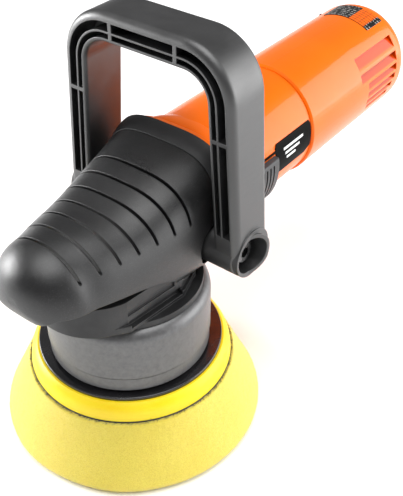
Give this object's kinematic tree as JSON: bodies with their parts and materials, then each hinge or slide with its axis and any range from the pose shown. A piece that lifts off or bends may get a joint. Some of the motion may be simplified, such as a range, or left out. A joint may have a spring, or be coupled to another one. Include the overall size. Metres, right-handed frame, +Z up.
{
  "type": "orbital polisher",
  "caption": "Dual-action orbital polisher: foam pad on an offset backing plate, bevel-gear head, motor grip with slide switch and a tilting bail handle.",
  "frame": {"origin": "where the main spindle's axis meets the plane that the foam pad rests on", "axes": "+Z up along the main spindle, +Y from the nose towards the grip's rear end, +X towards the slide switch"},
  "size_m": [0.164, 0.3583, 0.2488],
  "materials": {
    "foam": "open-cell foam",
    "loop": "fuzzy loop fabric",
    "cushion": "satin polyurethane",
    "plate": "satin",
    "steel": "machined",
    "screw": "black oxide",
    "bearing": "ground",
    "eccentric": "cast",
    "weight": "plain",
    "gear": "hardened",
    "cover": "fine sparkle texture",
    "case": "satin cast aluminium",
    "band": "satin",
    "shroud": "satin silver-grey",
    "orange": "semi-gloss",
    "baffle": "moulded",
    "lamination": "stacked sheet",
    "copper": "enamelled wire",
    "commutator": "turned copper",
    "fan": "moulded",
    "brass": "stamped",
    "carbon": "pressed carbon",
    "rubber": "soft",
    "switch": "ribbed",
    "module": "moulded",
    "board": "circuit board",
    "heatsink": "extruded",
    "film": "printed film",
    "bail": "satin moulded"
  },
  "bodies": {
    "housing": {"head_cover": "cover", "gear_housing": "case", "bearing_retainer": "steel", "lower_spindle_bearing": "bearing", "upper_spindle_bush": "bearing", "shroud": "shroud", "shroud_screws": "screw", "shroud_ring": "shroud", "bearing_bracket": "band", "flange_screws": "screw", "front_motor_bearing": "bearing", "motor_housing": "orange", "stator_core": "lamination", "field_coils": "copper", "air_baffle": "baffle", "rear_motor_bearing": "bearing", "rear_bearing_sleeve": "rubber", "brush_carrier": "module", "brush_holders": "brass", "carbon_brushes": "carbon", "brush_springs": "steel", "grip_shell_right": "orange", "grip_shell_left": "orange", "grip_screws": "screw", "switch_module": "module", "speed_board": "board", "board_heatsink": "heatsink", "dial_pot": "module", "cord_inlet": "rubber", "cord_clamp": "module", "name_plate": "film", "top_label": "film", "handle_washers": "steel", "handle_bolts": "screw", "handle_seats": "band", "retainer_screws": "screw"},
    "pad_unit": {"foam_pad": "foam", "loop_disc": "loop", "plate_cushion": "cushion", "backing_plate": "plate", "plate_washer": "steel", "plate_bolt": "screw", "stub_spindle": "steel"},
    "spindle_unit": {"eccentric_hub": "eccentric", "stub_bearings": "bearing", "counterweight": "weight", "output_shaft": "steel", "spindle_key": "steel", "bevel_wheel": "gear"},
    "armature": {"bevel_pinion": "gear", "armature_shaft": "steel", "armature_core": "lamination", "armature_winding": "copper", "commutator": "commutator", "motor_fan": "fan"},
    "bail": {"bail_handle": "bail"},
    "switch": {"slide_switch": "switch", "switch_rod": "module"},
    "dial": {"speed_dial": "switch"}
  },
  "joints": [
    {"name": "spindle_turn", "type": "hinge", "parent": "housing", "child": "spindle_unit", "pos_m": [0, 0, 0.11], "axis": [0, 0, 1], "continuous": true},
    {"name": "pad_turn", "type": "hinge", "parent": "spindle_unit", "child": "pad_unit", "pos_m": [-0.0024, 0.0032, 0.08], "axis": [0, 0, 1], "continuous": true},
    {"name": "armature_turn", "type": "hinge", "parent": "housing", "child": "armature", "pos_m": [0, 0.1, 0.1438], "axis": [0, 1, 0], "continuous": true},
    {"name": "bail_tilt", "type": "hinge", "parent": "housing", "child": "bail", "pos_m": [0, 0.0343, 0.128], "axis": [1, 0, 0], "range_deg": [-45, 40]},
    {"name": "switch_slide", "type": "slide", "parent": "housing", "child": "switch", "axis": [0, -1, 0], "range_m": [0, 0.007]},
    {"name": "dial_turn", "type": "hinge", "parent": "housing", "child": "dial", "pos_m": [0, 0.265, 0.158], "axis": [1, 0, 0], "range_deg": [-135, 135]}
  ],
  "couplings": [
    {"joint": "armature_turn", "follows": "spindle_turn", "ratio": 3.6667}
  ]
}
